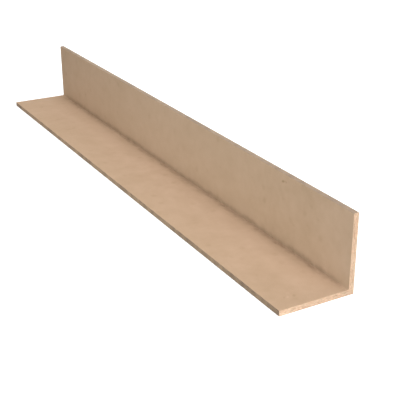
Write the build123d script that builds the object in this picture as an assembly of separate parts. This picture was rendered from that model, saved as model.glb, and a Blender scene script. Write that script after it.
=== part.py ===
from build123d import *

import os

# Equal-leg angle profile of raw wood-based board, one straight length.
# One leg lies flat, the other stands upright on its back edge.
#
# Frame, in millimetres: +X runs along the length, +Z is up. The flat leg
# reaches from the upright leg towards -Y. The origin is the centre of the
# bounding box's bottom face, so the flat leg's underside is z = 0, the outer
# face of the upright leg is y = +LEG / 2 and the cut ends are x = -/+ LENGTH / 2.

# Driving dimensions
LEG = 140.0  # outer width of each leg, measured over the heel
THICKNESS = 9.5  # board thickness of both legs
LENGTH = 1220.0  # sawn length
HEEL_EASE = 0.5  # radius of the outer heel edge, just broken
ARRIS_EASE = 0.4  # radius of the long edges of the two free edges
CORNER_FILLET = 0.8  # radius left in the inner corner
END_EASE = 0.25  # light break around the two sawn ends

Y_BACK = LEG / 2  # outer face of the upright leg
Y_WALL = Y_BACK - THICKNESS  # inner face of the upright leg
Y_FRONT = -LEG / 2  # free edge of the flat leg
Z_FLOOR = THICKNESS  # upper face of the flat leg
Z_TOP = LEG  # free edge of the upright leg

# The section's corners as (y, z), counted round from the front bottom edge
OUTLINE = [
    (Y_FRONT, 0.0),
    (Y_BACK, 0.0),
    (Y_BACK, Z_TOP),
    (Y_WALL, Z_TOP),
    (Y_WALL, Z_FLOOR),
    (Y_FRONT, Z_FLOOR),
]


def corner(shape, y, z):
    """The section's one corner at (y, z)."""
    found = [v for v in shape.vertices() if abs(v.X - y) < 1e-6 and abs(v.Y - z) < 1e-6]
    assert len(found) == 1, (y, z, len(found))
    return found[0]


def section():
    """The L shaped section with its edges eased: the sketch's x is y, and its y is z."""
    shape = make_face(Polyline(*OUTLINE, close=True))
    shape = fillet(corner(shape, Y_BACK, 0.0), radius=HEEL_EASE)
    for y, z in (
        (Y_FRONT, 0.0),
        (Y_FRONT, Z_FLOOR),
        (Y_WALL, Z_TOP),
        (Y_BACK, Z_TOP),
    ):
        shape = fillet(corner(shape, y, z), radius=ARRIS_EASE)
    return fillet(corner(shape, Y_WALL, Z_FLOOR), radius=CORNER_FILLET)


def angle_profile():
    """The whole length: the section drawn out along X, its sawn ends lightly broken."""
    start = Plane(origin=(-LENGTH / 2, 0, 0), x_dir=(0, 1, 0), z_dir=(1, 0, 0))
    body = extrude(start * section(), amount=LENGTH)
    rims = [e for e in body.edges() if abs(abs(e.center().X) - LENGTH / 2) < 1e-6]
    return chamfer(rims, length=END_EASE)


part = angle_profile()
solid = part.solids()[0]
solid.label = "angle_profile"
assert len(part.solids()) == 1 and solid.is_valid

os.makedirs("parts", exist_ok=True)
export_step(solid, "parts/angle_profile.step")

box = solid.bounding_box()
print("angle_profile  volume %.0f mm3" % solid.volume)
print("  x %.2f .. %.2f" % (box.min.X, box.max.X))
print("  y %.2f .. %.2f" % (box.min.Y, box.max.Y))
print("  z %.2f .. %.2f" % (box.min.Z, box.max.Z))
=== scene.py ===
import math
import random

import bpy
import numpy as np
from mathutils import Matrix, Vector, geometry


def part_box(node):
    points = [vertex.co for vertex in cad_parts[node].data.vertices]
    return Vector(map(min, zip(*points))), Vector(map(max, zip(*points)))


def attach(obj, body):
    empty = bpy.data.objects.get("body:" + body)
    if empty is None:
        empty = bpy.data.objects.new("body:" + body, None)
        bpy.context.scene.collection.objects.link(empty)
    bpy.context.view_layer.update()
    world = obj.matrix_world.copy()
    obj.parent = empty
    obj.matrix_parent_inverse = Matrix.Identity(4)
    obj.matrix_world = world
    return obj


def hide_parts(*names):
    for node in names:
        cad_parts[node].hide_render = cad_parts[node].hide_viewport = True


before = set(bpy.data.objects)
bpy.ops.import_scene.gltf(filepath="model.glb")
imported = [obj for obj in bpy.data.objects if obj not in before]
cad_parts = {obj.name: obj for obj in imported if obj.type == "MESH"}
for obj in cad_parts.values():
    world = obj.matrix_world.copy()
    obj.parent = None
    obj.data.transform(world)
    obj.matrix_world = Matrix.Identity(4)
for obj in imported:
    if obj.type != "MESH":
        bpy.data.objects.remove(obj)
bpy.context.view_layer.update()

# Angle profile of raw wood-based board, in metres, in the part's frame: +X along the
# length, +Z up, the flat leg from y = -0.070 to +0.070 and the upright leg on the +Y side.
low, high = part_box("angle_profile")
LENGTH = high.x - low.x
LEG = high.z - low.z
Y_FRONT, Y_BACK = low.y, high.y
THICKNESS = 0.0095
Y_WALL = Y_BACK - THICKNESS
R_HEEL, R_ARRIS, R_INNER = 0.0005, 0.0004, 0.0008
END_EASE = 0.00025
MM = 0.001


# ---------------------------------------------------------------- noise for the mesh

def hashed(i, j, seed):
    """A repeatable value from 0 to 1 for each pair of whole numbers."""
    n = (i.astype(np.int64) * 374761393 + j.astype(np.int64) * 668265263 + seed * 1274126177) & 0xFFFFFFFF
    n = ((n ^ (n >> 13)) * 1274126177) & 0xFFFFFFFF
    n = n ^ (n >> 16)
    return (n & 0xFFFFFF) / float(0xFFFFFF)


def smooth_noise(u, v, seed):
    """Smooth value noise from -1 to 1 with a period of about one unit."""
    u, v = np.asarray(u, float), np.asarray(v, float)
    i, j = np.floor(u), np.floor(v)
    a, b = u - i, v - j
    a, b = a * a * (3 - 2 * a), b * b * (3 - 2 * b)
    n00, n10 = hashed(i, j, seed), hashed(i + 1, j, seed)
    n01, n11 = hashed(i, j + 1, seed), hashed(i + 1, j + 1, seed)
    return 2 * ((n00 * (1 - a) + n10 * a) * (1 - b) + (n01 * (1 - a) + n11 * a) * b) - 1


# ---------------------------------------------------------------- the section's outline

class Side:
    """A straight run of the section from p to q, both as (y, z)."""

    def __init__(self, name, p, q):
        self.name, self.p, self.q = name, np.array(p), np.array(q)
        d = self.q - self.p
        self.length = float(np.hypot(*d))
        self.way = d / self.length
        self.normal = np.array((self.way[1], -self.way[0]))

    def at(self, t):
        return self.p + self.way * self.length * t, self.normal


class Arc:
    """A quarter turn of the section about c, between two angles in degrees."""

    def __init__(self, name, c, r, a0, a1, hollow=False):
        self.name, self.c, self.r, self.a0, self.a1, self.hollow = name, np.array(c), r, a0, a1, hollow
        self.length = r * math.pi / 2

    def at(self, t):
        a = math.radians(self.a0 + (self.a1 - self.a0) * t)
        d = np.array((math.cos(a), math.sin(a)))
        return self.c + self.r * d, (-d if self.hollow else d)


def outline():
    """The section's runs, round from the underside, seen with +X towards the eye."""
    h, r, n = R_HEEL, R_ARRIS, R_INNER
    return [
        Side("underside", (Y_FRONT + r, 0), (Y_BACK - h, 0)),
        Arc("heel", (Y_BACK - h, h), h, -90, 0),
        Side("back", (Y_BACK, h), (Y_BACK, LEG - r)),
        Arc("top_back_arris", (Y_BACK - r, LEG - r), r, 0, 90),
        Side("top_edge", (Y_BACK - r, LEG), (Y_WALL + r, LEG)),
        Arc("top_inner_arris", (Y_WALL + r, LEG - r), r, 90, 180),
        Side("wall", (Y_WALL, LEG - r), (Y_WALL, THICKNESS + n)),
        Arc("inner_corner", (Y_WALL - n, THICKNESS + n), n, 0, -90, hollow=True),
        Side("floor", (Y_WALL - n, THICKNESS), (Y_FRONT + r, THICKNESS)),
        Arc("front_upper_arris", (Y_FRONT + r, THICKNESS - r), r, 90, 180),
        Side("front_edge", (Y_FRONT, THICKNESS - r), (Y_FRONT, r)),
        Arc("front_lower_arris", (Y_FRONT + r, r), r, 180, 270),
    ]


def strips(run):
    """How a run is cut into strips along the length: (t0, t1, level) for each, where a strip's
    cells are 2 ** level finest steps long."""
    if isinstance(run, Arc):
        return [(k / 3, (k + 1) / 3, 0) for k in range(3)]
    if run.length < 0.02:
        n = 8
        return [(k / n, (k + 1) / n, 0) for k in range(n)]
    near = [(0.6, 0), (1.0, 0), (1.7, 1), (2.9, 2), (4.9, 2)]
    used = sum(w for w, _ in near) * MM
    inner = run.length - 2 * used
    n = round(inner / (9.2 * MM))
    widths = [(w * MM, k) for w, k in near] + [(inner / n, 3)] * n + [(w * MM, k) for w, k in reversed(near)]
    out, at = [], 0.0
    for w, k in widths:
        out.append((at / run.length, (at + w) / run.length, k))
        at += w
    return out


# ---------------------------------------------------------------- chips of the cut ends

CHIP_WRAP = THICKNESS  # length given to the heel's square, where the layers turn the corner


def board_coordinates(y, z):
    """(a, b) in metres for points of the section: b is the depth below the inner faces, and a runs
    along the board from the inner corner, below zero up the upright leg and above zero on the flat leg."""
    p, q = y - Y_WALL, THICKNESS - z
    flat = p <= 0
    up = (~flat) & (q <= 0)
    b = np.where(flat, q, np.where(up, p, np.maximum(p, q)))
    side = np.maximum(np.maximum(p, q), 1e-9)
    turn = np.where(q >= p, p / side * 0.5, 1 - q / side * 0.5)
    a = np.where(flat, -p + CHIP_WRAP / 2, np.where(up, q - CHIP_WRAP / 2, CHIP_WRAP / 2 - turn * CHIP_WRAP))
    return a, b


def chips(seed):
    """Random chips through one cut end: their centres in the board's own coordinates, tone and depth."""
    rng = random.Random(seed)
    out = []
    a_low, a_high = -(LEG - THICKNESS) - CHIP_WRAP, (LEG - THICKNESS) + CHIP_WRAP

    def layer(b0, b1, count, long, tone_spread, depth):
        for _ in range(count):
            out.append((rng.uniform(a_low, a_high), rng.uniform(b0, b1), long,
                        rng.gauss(0, tone_spread), abs(rng.gauss(0, depth))))

    layer(0.0, 1.3 * MM, 360, 2.2 * MM, 0.55, 0.05 * MM)
    layer(1.3 * MM, THICKNESS - 1.3 * MM, 300, 5.5 * MM, 1.0, 0.13 * MM)
    layer(THICKNESS - 1.3 * MM, THICKNESS, 360, 2.2 * MM, 0.55, 0.05 * MM)
    return out


class EndGrain:
    """Tone, gap and depth of the chips at any point of one cut end."""

    def __init__(self, seed):
        self.list = chips(seed)
        self.seed = seed
        self.centre = np.array([(c[0], c[1]) for c in self.list])
        self.shape = np.array([(c[2], 1.15 * MM if c[2] > 3 * MM else 0.6 * MM) for c in self.list])
        self.tone = np.array([c[3] for c in self.list])
        self.depth = np.array([c[4] for c in self.list])
        rng = random.Random(seed + 5)
        self.void = np.array([rng.random() < (0.035 if c[2] > 3 * MM else 0.0) for c in self.list])

    def at(self, y, z):
        a, b = board_coordinates(y, z)
        a = a + 0.0006 * smooth_noise(a / 0.002, b / 0.001, self.seed + 1)
        b = b + 0.00022 * smooth_noise(a / 0.0035, b / 0.001, self.seed + 2)
        tone, gap, depth = np.zeros(len(a)), np.zeros(len(a)), np.zeros(len(a))
        for start in range(0, len(a), 1500):
            s = slice(start, start + 1500)
            da = (a[s, None] - self.centre[None, :, 0]) / self.shape[None, :, 0]
            db = (b[s, None] - self.centre[None, :, 1]) / self.shape[None, :, 1]
            d = np.sqrt(da * da + db * db)
            order = np.argpartition(d, 1, axis=1)[:, :2]
            first = np.take_along_axis(d, order[:, :1], 1)[:, 0]
            second = np.take_along_axis(d, order[:, 1:], 1)[:, 0]
            swap = second < first
            nearest = np.where(swap, order[:, 1], order[:, 0])
            first, second = np.minimum(first, second), np.maximum(first, second)
            tone[s] = self.tone[nearest]
            gap[s] = np.clip(1 - (second - first) / 0.28, 0, 1)
            depth[s] = self.depth[nearest] + np.where(self.void[nearest], 0.5 * MM, 0.0)
            gap[s] = np.where(self.void[nearest], 1.0, gap[s])
        return tone, gap, depth


# ---------------------------------------------------------------- relief of the long faces

def nick_list(seed, count, span):
    """Random nicks along an arris: (place, half length, depth)."""
    rng = random.Random(seed)
    out = []
    for _ in range(count):
        out.append((rng.uniform(-span, span), rng.uniform(0.8, 3.2) * MM, rng.uniform(0.08, 0.32) * MM))
    return sorted(out)


NICKS = {name: nick_list(20 + k, 26, LENGTH / 2) for k, name in enumerate(
    ("heel", "top_back_arris", "top_inner_arris", "front_upper_arris", "front_lower_arris"))}


def nicks(name, x, reach):
    """How deep an arris is worn at x, in metres. reach is 1 on the arris and falls to 0 beside it."""
    out = 0.035 * MM * (1 + smooth_noise(x / 0.0031, np.full_like(x, 3.7), hash_of(name)))
    out = out + 0.05 * MM * np.clip(smooth_noise(x / 0.011, np.full_like(x, 8.1), hash_of(name) + 1), 0, 1)
    for place, half, depth in NICKS[name]:
        near = np.abs(x - place) < half
        if near.any():
            t = (x[near] - place) / half
            out[near] += depth * (1 - t * t) ** 2
    return out * reach


def bead(x):
    """How far the fold's filler stands out in the inner corner at x, in metres."""
    u = np.zeros_like(x)
    fine = 0.5 + 0.5 * smooth_noise(x / 0.0052, u + 2.3, 71)
    lumps = np.clip(smooth_noise(x / 0.014, u + 5.1, 72) - 0.1, 0, 1)
    return 0.28 * MM * fine + 0.55 * MM * lumps


def hash_of(name):
    return sum((k + 3) * ord(c) for k, c in enumerate(name))


def face_relief(name, s, x):
    """How far a long face lies below its plane, in metres: sanded faces are nearly flat, sawn edges are rippled."""
    seed = hash_of(name)
    if name in ("top_edge", "front_edge"):
        ripple = 0.022 * MM * np.sin(2 * math.pi * x / 0.0074 + 2.2 * smooth_noise(x / 0.09, s / 0.02, seed))
        torn = 0.05 * MM * np.clip(smooth_noise(x / 0.006, s / 0.0016, seed + 1) - 0.15, 0, 1)
        return 0.03 * MM + ripple + torn
    wave = 0.045 * MM * smooth_noise(x / 0.21, s / 0.09, seed) + 0.02 * MM * smooth_noise(x / 0.06, s / 0.05, seed + 1)
    return 0.06 * MM + wave


# ---------------------------------------------------------------- the mesh

STEPS = 976  # finest steps along the length, 1.25 mm each
CORNER_RUN = 7  # the inner corner's place in the outline
SAWN = ("top_back_arris", "top_edge", "top_inner_arris", "front_upper_arris", "front_edge", "front_lower_arris")


def wanted(j0, j1, level):
    """(longest cell in steps, widest cell in metres) for cells between two steps, finer near the sawn ends."""
    d = min(j0, STEPS - j1)
    if d < 2:
        return 1, 1.25 * MM
    if d < 4:
        return min(2, 1 << level), 2.5 * MM
    if d < 8:
        return min(4, 1 << level), 5.0 * MM
    return 1 << level, 1.0


def cells():
    """All cells as (strip's first index, last index, first step, last step) in whole numbers, with each
    strip 8 indices wide, and each strip's run and ends."""
    runs = outline()
    table, out = [], []
    for number, run in enumerate(runs):
        for t0, t1, level in strips(run):
            table.append((number, t0, t1, level))
    for k, (number, t0, t1, level) in enumerate(table):
        width = runs[number].length * (t1 - t0)

        def split(i0, i1, j0, j1):
            long, wide = wanted(j0, j1, level)
            here = width * (i1 - i0) / 8
            if j1 - j0 > long:
                m = (j0 + j1) // 2
                split(i0, i1, j0, m)
                split(i0, i1, m, j1)
            elif here > wide and i1 - i0 > 1:
                m = (i0 + i1) // 2
                split(i0, m, j0, j1)
                split(m, i1, j0, j1)
            else:
                out.append((i0, i1, j0, j1))

        for b in range(0, STEPS, 8):
            split(k * 8, k * 8 + 8, b, b + 8)
    return runs, table, out


def section_point(runs, table, i):
    """(y, z), outward normal, run and place on it for a whole number index round the section."""
    k, sub = divmod(i, 8)
    number, t0, t1, _ = table[k % len(table)]
    run = runs[number]
    t = t0 + (t1 - t0) * sub / 8
    p, n = run.at(t)
    return p, n, run, t


def build_mesh():
    runs, table, leaves = cells()
    around = len(table) * 8
    index = {}

    def corner(i, j):
        key = (i % around, j)
        if key not in index:
            index[key] = len(index)
        return index[key]

    for i0, i1, j0, j1 in leaves:
        for i, j in ((i0, j0), (i1, j0), (i1, j1), (i0, j1)):
            corner(i, j)

    # each face comes with the place (distance round the section, distance along) of each of its corners
    begins = [sum(r.length for r in runs[:n]) for n in range(len(runs) + 1)]
    middle = begins[CORNER_RUN] + runs[CORNER_RUN].length / 2

    def across(i):
        """Distance round the section from the inner corner: below zero up the wall, above it on the flat leg."""
        k = min(int(i // 8), len(table) - 1)
        number, t0, t1, _ = table[k]
        return begins[number] + runs[number].length * (t0 + (t1 - t0) * (i / 8 - k)) - middle

    faces, centres, places, face_zone = [], [], [], []
    for i0, i1, j0, j1 in leaves:
        zone = 1 if runs[table[i0 // 8][0]].name in SAWN else 0
        # a loop that turns anticlockwise seen from outside: first round the section, then along +X
        loop = [(i0, j0)]
        loop += [(i, j0) for i in range(i0 + 1, i1) if (i % around, j0) in index]
        loop += [(i1, j0)]
        loop += [(i1, j) for j in range(j0 + 1, j1) if (i1 % around, j) in index]
        loop += [(i1, j1)]
        loop += [(i, j1) for i in range(i1 - 1, i0, -1) if (i % around, j1) in index]
        loop += [(i0, j1)]
        loop += [(i0, j) for j in range(j1 - 1, j0, -1) if (i0 % around, j) in index]
        ids = [index[(i % around, j)] for i, j in loop]
        spots = [(across(i), j / STEPS) for i, j in loop]
        if len(ids) == 4:
            faces.append(ids)
            places.append(spots)
            face_zone.append(zone)
        else:
            centres.append(((i0 + i1) / 2, (j0 + j1) / 2, ids, spots, zone))

    # where each corner lies before relief
    keys = sorted(index, key=index.get)
    info = {}
    for i in sorted({i for i, _ in keys}):
        info[i] = section_point(runs, table, i)
    n_corner = len(keys)
    i_of = [i for i, _ in keys] + [None] * len(centres)
    yz = np.zeros((n_corner + len(centres), 2))
    nrm = np.zeros_like(yz)
    run_of = [None] * (n_corner + len(centres))
    t_of = np.zeros(n_corner + len(centres))
    step = np.zeros(n_corner + len(centres))
    for n, (i, j) in enumerate(keys):
        p, d, run, t = info[i]
        yz[n], nrm[n], run_of[n], t_of[n], step[n] = p, d, run, t, j
    for n, (ci, cj, ids, spots, zone) in enumerate(centres):
        m = n_corner + n
        k = int(ci // 8)
        number, t0, t1, _ = table[k]
        t = t0 + (t1 - t0) * (ci / 8 - k)
        p, d = runs[number].at(t)
        yz[m], nrm[m], run_of[m], t_of[m], step[m] = p, d, runs[number], t, cj
        middle_spot = (across(ci), cj / STEPS)
        for a, b, pa, pb in zip(ids, ids[1:] + ids[:1], spots, spots[1:] + spots[:1]):
            faces.append([a, b, m])
            places.append([pa, pb, middle_spot])
            face_zone.append(zone)

    half = LENGTH / 2 - END_EASE
    x = -half + 2 * half * step / STEPS

    # relief, measured inwards
    sink = np.zeros(len(x))
    names = np.array([r.name for r in run_of])
    for run in runs:
        mine = names == run.name
        if isinstance(run, Side):
            s = t_of[mine] * run.length
            deep = face_relief(run.name, s, x[mine])
            # flat at the run's own ends, where the arris begins
            edge = np.minimum(s, run.length - s)
            sink[mine] = deep * np.clip(edge / (1.2 * MM), 0.0, 1.0)
    place = {}
    for number, run in enumerate(runs):
        if isinstance(run, Arc) and not run.hollow:
            place[run.name] = run
    # arrises: worn along the bisector, fading over 1.3 mm on both sides
    push = np.zeros((len(x), 2))
    for name, arc in place.items():
        half_way = math.radians((arc.a0 + arc.a1) / 2)
        out = np.array((math.cos(half_way), math.sin(half_way)))
        reach = np.clip(1 - (np.hypot(*(yz - arc.c - arc.r * out).T) - arc.r * 0.5) / (1.3 * MM), 0, 1)
        near = reach > 0
        push[near] -= out * nicks(name, x[near], reach[near] ** 1.5)[:, None]
    # the inner corner: the fold is filled unevenly
    crease = np.array((Y_WALL, THICKNESS))
    reach = np.clip(1 - np.hypot(*(yz - crease).T) / (2.6 * MM), 0, 1)
    near = reach > 0
    push[near] += np.array((-1, 1)) / math.sqrt(2) * (bead(x[near]) * reach[near])[:, None]
    flat_yz = yz - nrm * sink[:, None] + push
    co = np.column_stack([x, flat_yz])

    # the sawn ends: the last ring, drawn in by END_EASE, and the cut face with its chips
    tone = np.zeros(len(co))
    gap = np.zeros(len(co))
    co = list(map(tuple, co))
    extra_tone, extra_gap = list(tone), list(gap)
    maps = [[long_map(q, t, begins[-1], middle) for q, t in spots] for spots in places]
    around_of = [[q for q, _ in spots] for spots in places]
    for sign, seed in ((1, 11), (-1, 29)):
        grain = EndGrain(seed)
        j = STEPS if sign > 0 else 0
        ring = sorted(i for i, jj in index if jj == j)
        ids = [index[(i, j)] for i in ring]
        pts = np.array([flat_yz[v] - info[i][1] * END_EASE for i, v in zip(ring, ids)])
        # wear on the end's own arris
        loop_len = np.cumsum(np.r_[0, np.hypot(*np.diff(pts, axis=0).T)])
        wear = 0.04 * MM * (1 + smooth_noise(loop_len / 0.0023, np.zeros(len(pts)), seed + 3))
        pts = pts - np.array([info[i][1] for i in ring]) * wear[:, None]
        inner = []
        gap_size = 0.62 * MM
        rng = random.Random(seed + 7)
        margin = END_EASE + 0.38 * MM
        ny = int(round((LEG - 2 * margin) / gap_size))
        for a in range(ny + 1):
            for b in range(ny + 1):
                y = Y_FRONT + margin + (LEG - 2 * margin) * a / ny
                z = margin + (LEG - 2 * margin) * b / ny
                if (z < THICKNESS - margin) or (y > Y_WALL + margin):
                    inner.append((y + rng.uniform(-0.13, 0.13) * MM, z + rng.uniform(-0.13, 0.13) * MM))
        flat = [Vector(p) for p in pts] + [Vector(p) for p in inner]
        out = geometry.delaunay_2d_cdt(flat, [], [list(range(len(pts)))], 1, 1e-7)
        verts2, _, tris, origin = out[0], out[1], out[2], out[3]
        assert len(verts2) == len(flat), (len(verts2), len(flat))
        back = [o[0] for o in origin]
        yz2 = np.array([tuple(flat[o]) for o in range(len(flat))])
        t, g, dp = grain.at(yz2[:, 0], yz2[:, 1])
        near_edge = np.zeros(len(flat), bool)
        near_edge[: len(pts)] = True
        dp = np.where(near_edge, 0.3 * dp, dp)
        depth = dp + 0.10 * MM * g * (~near_edge) + 0.02 * MM * (1 + smooth_noise(yz2[:, 0] / 0.0011, yz2[:, 1] / 0.0011, seed + 9))
        start = len(co)
        for (y, z), d in zip(yz2, depth):
            co.append((sign * (LENGTH / 2 - 0.02 * MM - d), y, z))
        extra_tone += list(t)
        extra_gap += list(g)
        cap = cap_map(yz2[:, 0], yz2[:, 1], sign)
        for tri in tris:
            tri = [back[v] for v in tri][::sign]
            faces.append([start + v for v in tri])
            maps.append([tuple(cap[v]) for v in tri])
            around_of.append([0.0] * 3)
            face_zone.append(2)
        n = len(ring)
        at = [across(i) for i in ring] + [begins[-1] - middle]
        for k in range(n):
            a, b = ids[k], ids[(k + 1) % n]
            c, d = start + (k + 1) % n, start + k
            faces.append([a, b, c, d][::sign])
            low_q, high_q = at[k], at[k + 1]
            inside, outside = (0.0, -0.0018) if sign < 0 else (1.0, 1.0018)
            rim = [(low_q, inside), (high_q, inside), (high_q, outside), (low_q, outside)][::sign]
            maps.append([long_map(q, t, begins[-1], middle) for q, t in rim])
            around_of.append([q for q, _ in rim])
            face_zone.append(2)
        for v, tt, gg in zip(ids, t[: len(pts)], g[: len(pts)]):
            extra_tone[v], extra_gap[v] = tt, gg

    mesh = bpy.data.meshes.new("angle_profile_board")
    mesh.from_pydata([Vector(c) for c in co], [], faces)
    mesh.validate()
    assert len(mesh.polygons) == len(faces), (len(mesh.polygons), len(faces))
    mesh.polygons.foreach_set("material_index", face_zone)
    mesh.polygons.foreach_set("use_smooth", [True] * len(faces))
    for name, values in (("chip_tone", extra_tone), ("chip_gap", extra_gap)):
        layer = mesh.attributes.new(name, "FLOAT", "POINT")
        layer.data.foreach_set("value", np.array(values, np.float32))
    layer = mesh.attributes.new("across", "FLOAT", "CORNER")
    layer.data.foreach_set("value", np.array([q for face in around_of for q in face], np.float32))
    flat_map = mesh.uv_layers.new(name="OFBake")
    flat_map.data.foreach_set("uv", np.array([c for face in maps for c in face], np.float32).ravel())
    mesh.update()
    return mesh


def long_map(q, t, total, middle):
    """Place on the bake map of a point of the long faces: the whole skin unrolled in one strip."""
    return (0.004 + 0.992 * (t + 0.002) / 1.004, 0.005 + 0.83 * (q + middle) / total)


def cap_map(y, z, sign):
    """Places on the bake map of points of a cut end: the end's two legs straightened into one strip."""
    a, b = board_coordinates(y, z)
    reach = LEG - THICKNESS + CHIP_WRAP / 2
    low = 0.85 if sign > 0 else 0.925
    return np.column_stack([0.5 + 0.49 * a / (reach + MM), low + 0.065 * b / THICKNESS])


mesh = build_mesh()
board = bpy.data.objects.new("angle_profile_board", mesh)
bpy.context.scene.collection.objects.link(board)
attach(board, "root")
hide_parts("angle_profile")
print("triangles", sum(len(p.vertices) - 2 for p in mesh.polygons), "vertices", len(mesh.vertices))


# ---------------------------------------------------------------- materials

class Paint:
    """A material, with short ways to add nodes. Each value is a number, a tuple or another node's output."""

    def __init__(self, name, specular=0.25):
        self.material = bpy.data.materials.new(name)
        self.material.use_nodes = True
        self.tree = self.material.node_tree
        self.shader = self.tree.nodes["Principled BSDF"]
        self.shader.inputs["Specular IOR Level"].default_value = specular

    def put(self, value, socket):
        if isinstance(value, bpy.types.NodeSocket):
            self.tree.links.new(value, socket)
        elif socket.type == "RGBA":
            socket.default_value = (*value[:3], 1)
        else:
            socket.default_value = value

    def node(self, kind, inputs, **settings):
        n = self.tree.nodes.new(kind)
        for key, value in settings.items():
            setattr(n, key, value)
        for key, value in inputs.items():
            self.put(value, n.inputs[key])
        return n

    def calc(self, operation, a, b=0.0, c=0.0, clamp=False):
        return self.node("ShaderNodeMath", {0: a, 1: b, 2: c}, operation=operation, use_clamp=clamp).outputs[0]

    def add(self, first, *others):
        for other in others:
            first = self.calc("ADD", first, other)
        return first

    def times(self, a, b):
        return self.calc("MULTIPLY", a, b)

    def attribute(self, name):
        return self.node("ShaderNodeAttribute", {}, attribute_name=name).outputs["Fac"]

    def point(self, x, y, z=0.0):
        return self.node("ShaderNodeCombineXYZ", {0: x, 1: y, 2: z}).outputs[0]

    def parts(self, vector):
        return self.node("ShaderNodeSeparateXYZ", {0: vector}).outputs

    def stretched(self, at, x, y, turn=0.0):
        """at in units of x by y metres, turned by an angle in degrees."""
        return self.node("ShaderNodeMapping", {"Vector": at, "Rotation": (0, 0, math.radians(turn)), "Scale": (x, y, 1.0)},
                         vector_type="TEXTURE").outputs[0]

    def noise(self, at, period, detail=2.0, roughness=0.5, distortion=0.0):
        """Noise of about that period, centred on zero and mostly within -0.5 to 0.5."""
        n = self.node("ShaderNodeTexNoise", {"Vector": at, "Scale": 1.0 / period, "Detail": detail,
                                            "Roughness": roughness, "Distortion": distortion}, noise_dimensions="2D")
        return self.calc("SUBTRACT", n.outputs[0], 0.5)

    def cells(self, at, period, feature="F1", randomness=1.0):
        return self.node("ShaderNodeTexVoronoi", {"Vector": at, "Scale": 1.0 / period, "Randomness": randomness},
                         voronoi_dimensions="2D", feature=feature).outputs

    def span(self, value, low, high, to_low=0.0, to_high=1.0, smooth=True):
        return self.node("ShaderNodeMapRange", {"Value": value, "From Min": low, "From Max": high, "To Min": to_low,
                                                "To Max": to_high}, clamp=True,
                         interpolation_type="SMOOTHSTEP" if smooth else "LINEAR").outputs[0]

    def length(self, vector):
        return self.node("ShaderNodeVectorMath", {0: vector}, operation="LENGTH").outputs["Value"]

    def blend(self, share, a, b):
        n = self.node("ShaderNodeMix", {0: share, 6: a, 7: b}, data_type="RGBA", clamp_factor=True)
        return n.outputs[2]

    def blend_value(self, share, a, b):
        return self.node("ShaderNodeMix", {0: share, 2: a, 3: b}, data_type="FLOAT").outputs[0]

    def scaled(self, colour, factor):
        return self.node("ShaderNodeVectorMath", {0: colour, "Scale": factor}, operation="SCALE").outputs["Vector"]

    def tinted(self, colour, change, weights=(1.0, 1.05, 1.45)):
        """colour made lighter or darker by a share, the blue more than the rest, so that darker is also browner."""
        share = self.scaled(weights, change)
        by = self.node("ShaderNodeVectorMath", {0: share, 1: (1, 1, 1)}, operation="ADD").outputs[0]
        return self.node("ShaderNodeVectorMath", {0: colour, 1: by}, operation="MULTIPLY").outputs[0]

    def mark(self, at, x, y, half_x, half_y, turn, tone):
        """tone inside one soft-edged oval, zero outside it."""
        there = self.node("ShaderNodeMapping", {"Vector": at, "Location": (x, y, 0), "Rotation": (0, 0, math.radians(turn)),
                                                "Scale": (half_x, half_y, 1.0)}, vector_type="TEXTURE").outputs[0]
        return self.span(self.length(there), 0.25, 1.0, tone, 0.0)

    def fibres(self, at, long, thick):
        """Short fibres lying every way in the board's plane, from 0 to about 1."""
        out = None
        for k, turn in enumerate((8, 53, 97, 141)):
            one = self.noise(self.stretched(at, long, thick, turn), 1.0, detail=1.0, roughness=0.6)
            one = self.span(one, 0.04, 0.30)
            out = one if out is None else self.calc("MAXIMUM", out, one)
        return out

    def finish(self, colour, roughness, height, strength, distance):
        self.put(colour, self.shader.inputs["Base Color"])
        self.put(roughness, self.shader.inputs["Roughness"])
        bump = self.node("ShaderNodeBump", {"Strength": strength, "Distance": distance, "Height": height})
        self.put(bump.outputs[0], self.shader.inputs["Normal"])
        return self.material


FACE = (0.466, 0.317, 0.211)
EDGE = (0.300, 0.200, 0.130)

# Marks seen on the inner faces: (place along x, distance round from the inner corner, half length,
# half width, turn in degrees, change of tone), the wall's distances below zero.
MARKS = [
    (0.4207, -0.1156, 0.0064, 0.0029, -20, -0.31), (0.4290, -0.1172, 0.0050, 0.0027, 10, -0.13),
    (0.4330, -0.1060, 0.0130, 0.0090, 0, -0.022),
    (0.4213, -0.0850, 0.0068, 0.0050, 15, -0.030), (0.2117, -0.0716, 0.0065, 0.0034, 0, -0.045),
    (0.1619, -0.0486, 0.0070, 0.0040, 30, -0.048), (0.5020, -0.1002, 0.0070, 0.0050, 20, -0.030),
    (0.5223, -0.0852, 0.0060, 0.0040, 0, -0.038), (0.5683, -0.0881, 0.0060, 0.0045, 60, -0.022),
    (0.4546, -0.0489, 0.0065, 0.0045, 0, -0.050), (-0.0538, -0.0667, 0.0080, 0.0050, 0, -0.050),
    (-0.1887, -0.0741, 0.0090, 0.0050, 0, -0.048),
    (0.2575, 0.0839, 0.0070, 0.0030, 10, -0.018), (0.4223, 0.1006, 0.0085, 0.0030, -12, -0.034),
    (0.4988, 0.0994, 0.0100, 0.0028, 24, -0.024),
] + [(*on_flat, 35, tone) for *on_flat, tone in (
    (0.5807, 0.0952, 0.0052, 0.0034, 0.075), (0.5795, 0.1010, 0.0040, 0.0026, -0.075),
    (0.5815, 0.0838, 0.0058, 0.0038, -0.100), (0.5900, 0.0880, 0.0060, 0.0070, -0.030),
    (0.5700, 0.0880, 0.0060, 0.0040, 0.040))]


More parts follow.
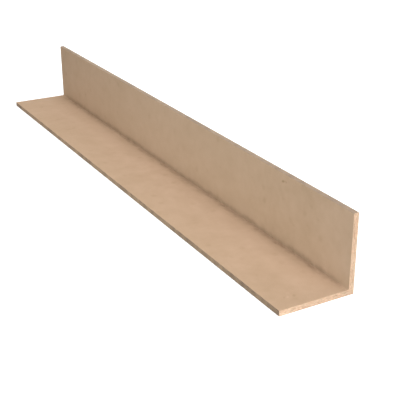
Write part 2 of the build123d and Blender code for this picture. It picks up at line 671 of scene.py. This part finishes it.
def board_face():
    """The broad faces: pressed, lightly sanded fibre, nearly even in tone."""
    m = Paint("raw_board_face")
    x = m.parts(m.node("ShaderNodeTexCoord", {}).outputs["Object"])[0]
    q = m.attribute("across")
    at = m.point(x, q)
    wall = m.span(q, -0.002, 0.002, 1.0, 0.0, smooth=False)
    # clouds in the pressed sheet, the upright leg evener along its middle
    fine = m.add(m.times(m.noise(at, 0.024, 1.0, 0.4), 0.075), m.times(m.noise(at, 0.0115, 1.0, 0.4), 0.045),
                 m.times(m.noise(at, 0.0055, 1.0, 0.4), 0.015))
    tone = m.add(m.times(m.noise(at, 0.150, 1.0), 0.050), m.times(m.noise(at, 0.052, 1.0, 0.4), 0.080),
                 m.times(fine, m.span(x, -0.35, 0.25, 0.82, 1.0)))
    tone = m.times(tone, m.blend_value(wall, 1.0, m.times(m.span(x, 0.20, 0.40, 0.78, 1.10), m.span(x, -0.30, -0.10, 1.20, 1.0))))
    # painted light and shade: the board is painted a little paler at its near end (painted light) and darker at the far
    # one (painted shade), and the flat leg paler along its inner half (painted light against the upright leg's shade)
    tone = m.add(tone, m.times(m.span(x, 0.50, 0.60), m.add(m.times(wall, 0.010), 0.040)), m.span(x, -0.60, -0.52, -0.035, 0.0),
                 m.times(m.span(q, 0.010, 0.026, 0.0, 0.045), m.span(x, 0.46, 0.58, 1.0, 0.0)), m.span(q, 0.050, 0.085, 0.0, -0.050),
                 m.times(wall, m.span(m.calc("ABSOLUTE", m.add(x, 0.03)), 0.04, 0.22, 0.028, 0.0)))
    # a few soft darker spots
    spots = m.cells(at, 0.041)
    soft = m.times(m.span(spots[0], 0.05, 0.20, 1.0, 0.0), m.span(m.parts(spots[1])[0], 0.45, 1.00))
    tone = m.add(tone, m.times(soft, -0.060))
    # fibres and small flecks
    fibre = m.fibres(at, 0.0042, 0.00042)
    dark_fibre = m.fibres(m.node("ShaderNodeVectorMath", {0: at, 1: (0.37, 0.19, 0)}, operation="ADD").outputs[0], 0.0026, 0.00030)
    grit = m.noise(at, 0.00085, 2.0, 0.7)
    tone = m.add(tone, m.times(m.add(m.times(fibre, 0.027), m.times(dark_fibre, -0.029), m.times(grit, 0.028)),
                               m.blend_value(wall, 1.0, 0.78)))
    ragged = m.point(m.add(x, m.times(m.noise(at, 0.0021, 1.0), 0.0016)), m.add(q, m.times(m.noise(at, 0.0017, 1.0), 0.0010)))
    specks = m.cells(m.stretched(ragged, 0.0155, 0.0110, 8), 1.0)
    chance = m.parts(specks[1])
    size = m.span(chance[1], 0.0, 1.0, 0.020, 0.085, smooth=False)
    fleck = m.times(m.span(m.calc("DIVIDE", specks[0], size), 0.35, 1.0, 1.0, 0.0), m.span(chance[0], 0.55, 0.95))
    tone = m.add(tone, m.times(fleck, m.span(chance[2], 0.0, 1.0, -0.05, -0.17, smooth=False)))
    for mark in MARKS:
        tone = m.add(tone, m.mark(at, *mark))
    colour = m.tinted(FACE, tone)
    # painted shade: the inner corner is painted dark along the fold, with a narrow core and a wider soft haze, less so
    # near the sawn ends where the corner opens
    wander = m.add(m.times(m.noise(m.stretched(at, 0.0085, 0.012), 1.0, 2.0, 0.6), 0.0056),
                   m.times(m.noise(m.point(x, 0.77), 0.030), 0.0062),
                   m.times(m.noise(at, 0.0050, 2.0, 0.6), 0.0026))
    away = m.calc("ABSOLUTE", m.add(q, wander, 0.0006))
    spread = m.add(1.0, m.times(m.noise(m.point(x, 0.19), 0.042, 2.0, 0.6), 0.95))
    # painted shade: a thin dark line right on the fold
    line = m.calc("EXPONENT", m.calc("DIVIDE", m.calc("ABSOLUTE", q), -0.0009))
    reach = m.blend_value(wall, m.times(m.times(spread, 0.0085), m.span(x, 0.20, 0.54, 1.0, 0.76)),
                          m.span(x, 0.50, 0.56, 0.0063, 0.0052))
    core = m.calc("DIVIDE", away, reach)
    core = m.calc("EXPONENT", m.times(m.calc("POWER", core, 2.6), -1.0))
    shade_haze = m.calc("DIVIDE", away, m.times(spread, 0.020))
    shade_haze = m.times(m.calc("EXPONENT", m.times(m.times(shade_haze, shade_haze), -1.0)), wall)
    last = m.span(m.calc("ABSOLUTE", x), LENGTH / 2 - 0.032, LENGTH / 2 - 0.004, 1.0, 0.42)
    to_end = m.times(m.span(m.calc("ABSOLUTE", x), LENGTH / 2 - 0.090, LENGTH / 2, 1.0, 0.55), last)
    uneven = m.add(1.0, m.times(m.noise(m.stretched(at, 0.016, 0.010), 1.0, 2.0), 0.60))
    corner_shade = m.add(m.times(core, m.blend_value(wall, 0.305, 0.235)), m.times(shade_haze, 0.115))
    corner_shade = m.add(m.times(m.times(corner_shade, to_end), uneven), m.times(m.times(line, last), 0.14))
    ragged_shade = m.span(m.noise(m.stretched(at, 0.012, 0.006), 1.0, 2.0, 0.6), 0.08, 0.22)
    long_ragged_shade = m.span(m.noise(m.stretched(at, 0.034, 0.010), 1.0, 2.0, 0.6), 0.03, 0.16)
    beside = m.times(m.span(q, 0.0, 0.004), to_end)
    # painted shade: a darker band and ragged darker streaks on the flat leg beside the fold
    corner_shade = m.add(corner_shade, m.times(m.times(m.span(q, 0.002, 0.008), m.span(q, 0.012, 0.028, 0.040, 0.0)), m.span(x, 0.22, 0.42)),
                 m.times(m.times(ragged_shade, m.span(q, 0.005, 0.018, 0.090, 0.0)), beside),
                 m.times(m.times(long_ragged_shade, m.span(q, 0.008, 0.021, 0.085, 0.0)), beside))
    colour = m.tinted(colour, m.times(corner_shade, -1.0), (0.90, 0.99, 1.07))
    rough = m.add(0.78, m.times(grit, 0.12), m.times(fibre, -0.06))
    height = m.add(m.times(fibre, 0.5), m.times(dark_fibre, -0.35), m.times(grit, 0.9), m.times(fleck, -1.2))
    return m.finish(colour, rough, height, 0.35, 0.00012)


def board_long_edge():
    """The sawn long edges: chips cut along their length, browned by the saw."""
    m = Paint("raw_board_long_edge")
    x = m.parts(m.node("ShaderNodeTexCoord", {}).outputs["Object"])[0]
    at = m.point(x, m.attribute("across"))
    bent = m.point(m.add(x, m.times(m.noise(m.stretched(at, 0.003, 0.0009), 1.0), 0.003)),
                   m.add(m.attribute("across"), m.times(m.noise(m.stretched(at, 0.007, 0.002), 1.0, 2.0), 0.0016)))
    chip = m.cells(m.stretched(bent, 0.0085, 0.00115), 1.0)
    gap = m.cells(m.stretched(bent, 0.0085, 0.00115), 1.0, feature="DISTANCE_TO_EDGE")[0]
    own = m.calc("SUBTRACT", m.parts(chip[1])[0], 0.5)
    seam = m.times(m.span(gap, 0.0, 0.12, 1.0, 0.0), m.span(m.noise(m.stretched(at, 0.009, 0.0018), 1.0, 2.0), -0.02, 0.16))
    streak = m.noise(m.stretched(at, 0.012, 0.0005), 1.0, 2.0, 0.6)
    grit = m.noise(at, 0.0007, 2.0, 0.7)
    # the top edge is paler and evener than the front one, and the front one lighter along its far half
    top = m.span(m.attribute("across"), -0.02, 0.02, 1.0, 0.0, smooth=False)
    change = m.add(m.times(own, 0.26), m.times(seam, -0.22), m.times(streak, 0.46), m.times(grit, 0.16),
                   m.times(m.noise(m.stretched(at, 0.016, 0.2), 1.0, 1.0), 0.60), m.times(m.noise(at, 0.15, 1.0), 0.20),
                   m.times(m.times(m.noise(m.point(x, m.add(top, 0.3)), 0.034, 1.0), m.span(x, -0.35, 0.35, 0.50, 0.05)),
                           m.blend_value(top, 1.9, 1.0)))
    change = m.times(change, m.blend_value(top, 1.0, m.span(x, -0.40, 0.50, 0.80, 0.58)))
    change = m.add(change, m.times(m.calc("SUBTRACT", 1.0, top),
                                   m.add(m.span(x, -0.05, 0.45, 0.135, -0.03), m.span(x, -0.60, -0.30, -0.03, 0.0))))
    colour = m.tinted(m.blend(top, EDGE, (0.343, 0.250, 0.179)), change, (1.0, 1.0, 0.9))
    height = m.add(m.times(own, 0.6), m.times(seam, -1.0), m.times(streak, 0.8), m.times(grit, 0.5))
    return m.finish(colour, m.add(0.84, m.times(grit, 0.1)), height, 0.5, 0.00015)


def board_cut_end():
    """The cross-cut ends: pale fresh chips, finer towards both faces."""
    m = Paint("raw_board_cut_end")
    place = m.node("ShaderNodeTexCoord", {}).outputs["Object"]
    _, y, z = m.parts(place)
    at = m.point(y, z)
    chip, gap = m.attribute("chip_tone"), m.attribute("chip_gap")
    grit = m.noise(at, 0.00045, 2.0, 0.7)
    streak = m.noise(at, 0.0016, 3.0, 0.7)
    broad = m.noise(at, 0.013, 1.0)
    tone = m.add(1.0, m.times(chip, 0.085), m.times(gap, -0.22), m.times(grit, 0.14), m.times(streak, 0.12), m.times(broad, 0.16),
                 m.span(y, -0.050, 0.010, 0.085, -0.015, smooth=False))
    specks = m.cells(at, 0.0042)
    speck = m.times(m.span(specks[0], 0.06, 0.14, 1.0, 0.0), m.span(m.parts(specks[1])[0], 0.84, 0.88))
    tone = m.add(tone, m.times(speck, -0.35))
    warm = m.span(m.add(chip, m.times(m.noise(m.point(z, y), 0.009, 1.0), 4.0)), -2.0, 2.0)
    colour = m.scaled(m.blend(warm, (0.640, 0.420, 0.285), (0.600, 0.440, 0.310)), tone)
    height = m.add(m.times(grit, 0.6), m.times(streak, 0.8), m.times(gap, -0.5), m.times(speck, -1.0))
    return m.finish(colour, m.add(0.82, m.times(grit, 0.1)), height, 0.5, 0.0002)


for finished in (board_face(), board_long_edge(), board_cut_end()):
    mesh.materials.append(finished)


# ---------------------------------------------------------------- floor, light and camera

floor_mesh = bpy.data.meshes.new("floor")
floor_mesh.from_pydata([(-14, -14, -0.0002), (14, -14, -0.0002), (14, 14, -0.0002), (-14, 14, -0.0002)], [], [(0, 1, 2, 3)])
floor = bpy.data.objects.new("floor", floor_mesh)
bpy.context.scene.collection.objects.link(floor)
floor_paint = Paint("plain_floor")
floor_paint.shader.inputs["Base Color"].default_value = (0.9, 0.9, 0.9, 1)
floor_paint.shader.inputs["Roughness"].default_value = 0.9
floor_paint.shader.inputs["Emission Color"].default_value = (1, 1, 1, 1)
floor_paint.shader.inputs["Emission Strength"].default_value = 0.36
floor_mesh.materials.append(floor_paint.material)
floor.visible_diffuse = False  # the floor sends no light back up, so that the board's shading stays even

# the sky lights the board softly, and is white where the camera sees it
world = bpy.data.worlds.new("studio")
world.use_nodes = True
sky = world.node_tree
sky.nodes["Background"].inputs["Color"].default_value = (1, 1, 1, 1)
eye = sky.nodes.new("ShaderNodeLightPath")
strength = sky.nodes.new("ShaderNodeMapRange")
strength.inputs["To Min"].default_value, strength.inputs["To Max"].default_value = 0.30, 1.0
sky.links.new(eye.outputs["Is Camera Ray"], strength.inputs["Value"])
sky.links.new(strength.outputs[0], sky.nodes["Background"].inputs["Strength"])
bpy.context.scene.world = world


def lamp(name, kind, place, aim, size, energy, colour=(1, 1, 1)):
    """A soft lamp at a place, turned towards aim: a disk of that size in metres, or a sun of that width in degrees."""
    data = bpy.data.lights.new(name, kind)
    data.energy, data.color = energy, colour
    if kind == "AREA":
        data.shape, data.size = "DISK", size
    else:
        data.angle = math.radians(size)
    obj = bpy.data.objects.new(name, data)
    obj.location = place
    obj.rotation_mode = "QUATERNION"
    obj.rotation_quaternion = (Vector(aim) - Vector(place)).to_track_quat("-Z", "Y")
    bpy.context.scene.collection.objects.link(obj)
    return obj


def towards(az, el, far=3.0):
    """A place that far from the origin, seen at an azimuth and elevation as the camera's are counted."""
    a, e = math.radians(az), math.radians(el)
    return (far * math.sin(a) * math.cos(e), -far * math.cos(a) * math.cos(e), far * math.sin(e))


lamps = [
    lamp("sun_overhead", "SUN", towards(0, 85), (0, 0, 0), 60, 1.48, (0.95, 1.0, 1.0)),
    lamp("sun_near_end", "SUN", towards(85, 12), (0, 0, 0), 60, 4.40, (1.0, 1.0, 0.985)),
    lamp("sun_back", "SUN", towards(210, 40), (0, 0, 0), 60, 0.5),
    lamp("low_front", "AREA", (0.35, -1.2, 0.15), (0.25, 0, 0.05), 0.5, 6.5, (0.80, 1.0, 1.0)),
    lamp("high_front", "AREA", (0.9, -0.9, 0.9), (0.25, 0, 0.05), 0.8, 2.46, (1.0, 0.89, 0.91)),
]

camera_data = bpy.data.cameras.new("camera")
camera_data.sensor_width = 36.0
camera_data.lens = 75.5153
camera_data.clip_start, camera_data.clip_end = 0.05, 200.0
camera = bpy.data.objects.new("camera", camera_data)
camera.location = (1.547614, -0.724691, 0.681056)
azimuth, elevation = math.radians(60.2515), math.radians(23.9701)
back = Vector((math.sin(azimuth) * math.cos(elevation), -math.cos(azimuth) * math.cos(elevation), math.sin(elevation)))
camera.rotation_mode = "QUATERNION"
camera.rotation_quaternion = (-back).to_track_quat("-Z", "Y")
bpy.context.scene.collection.objects.link(camera)
bpy.context.scene.camera = camera
bpy.context.scene.view_settings.view_transform = "Standard"
bpy.context.scene.view_settings.look = "None"
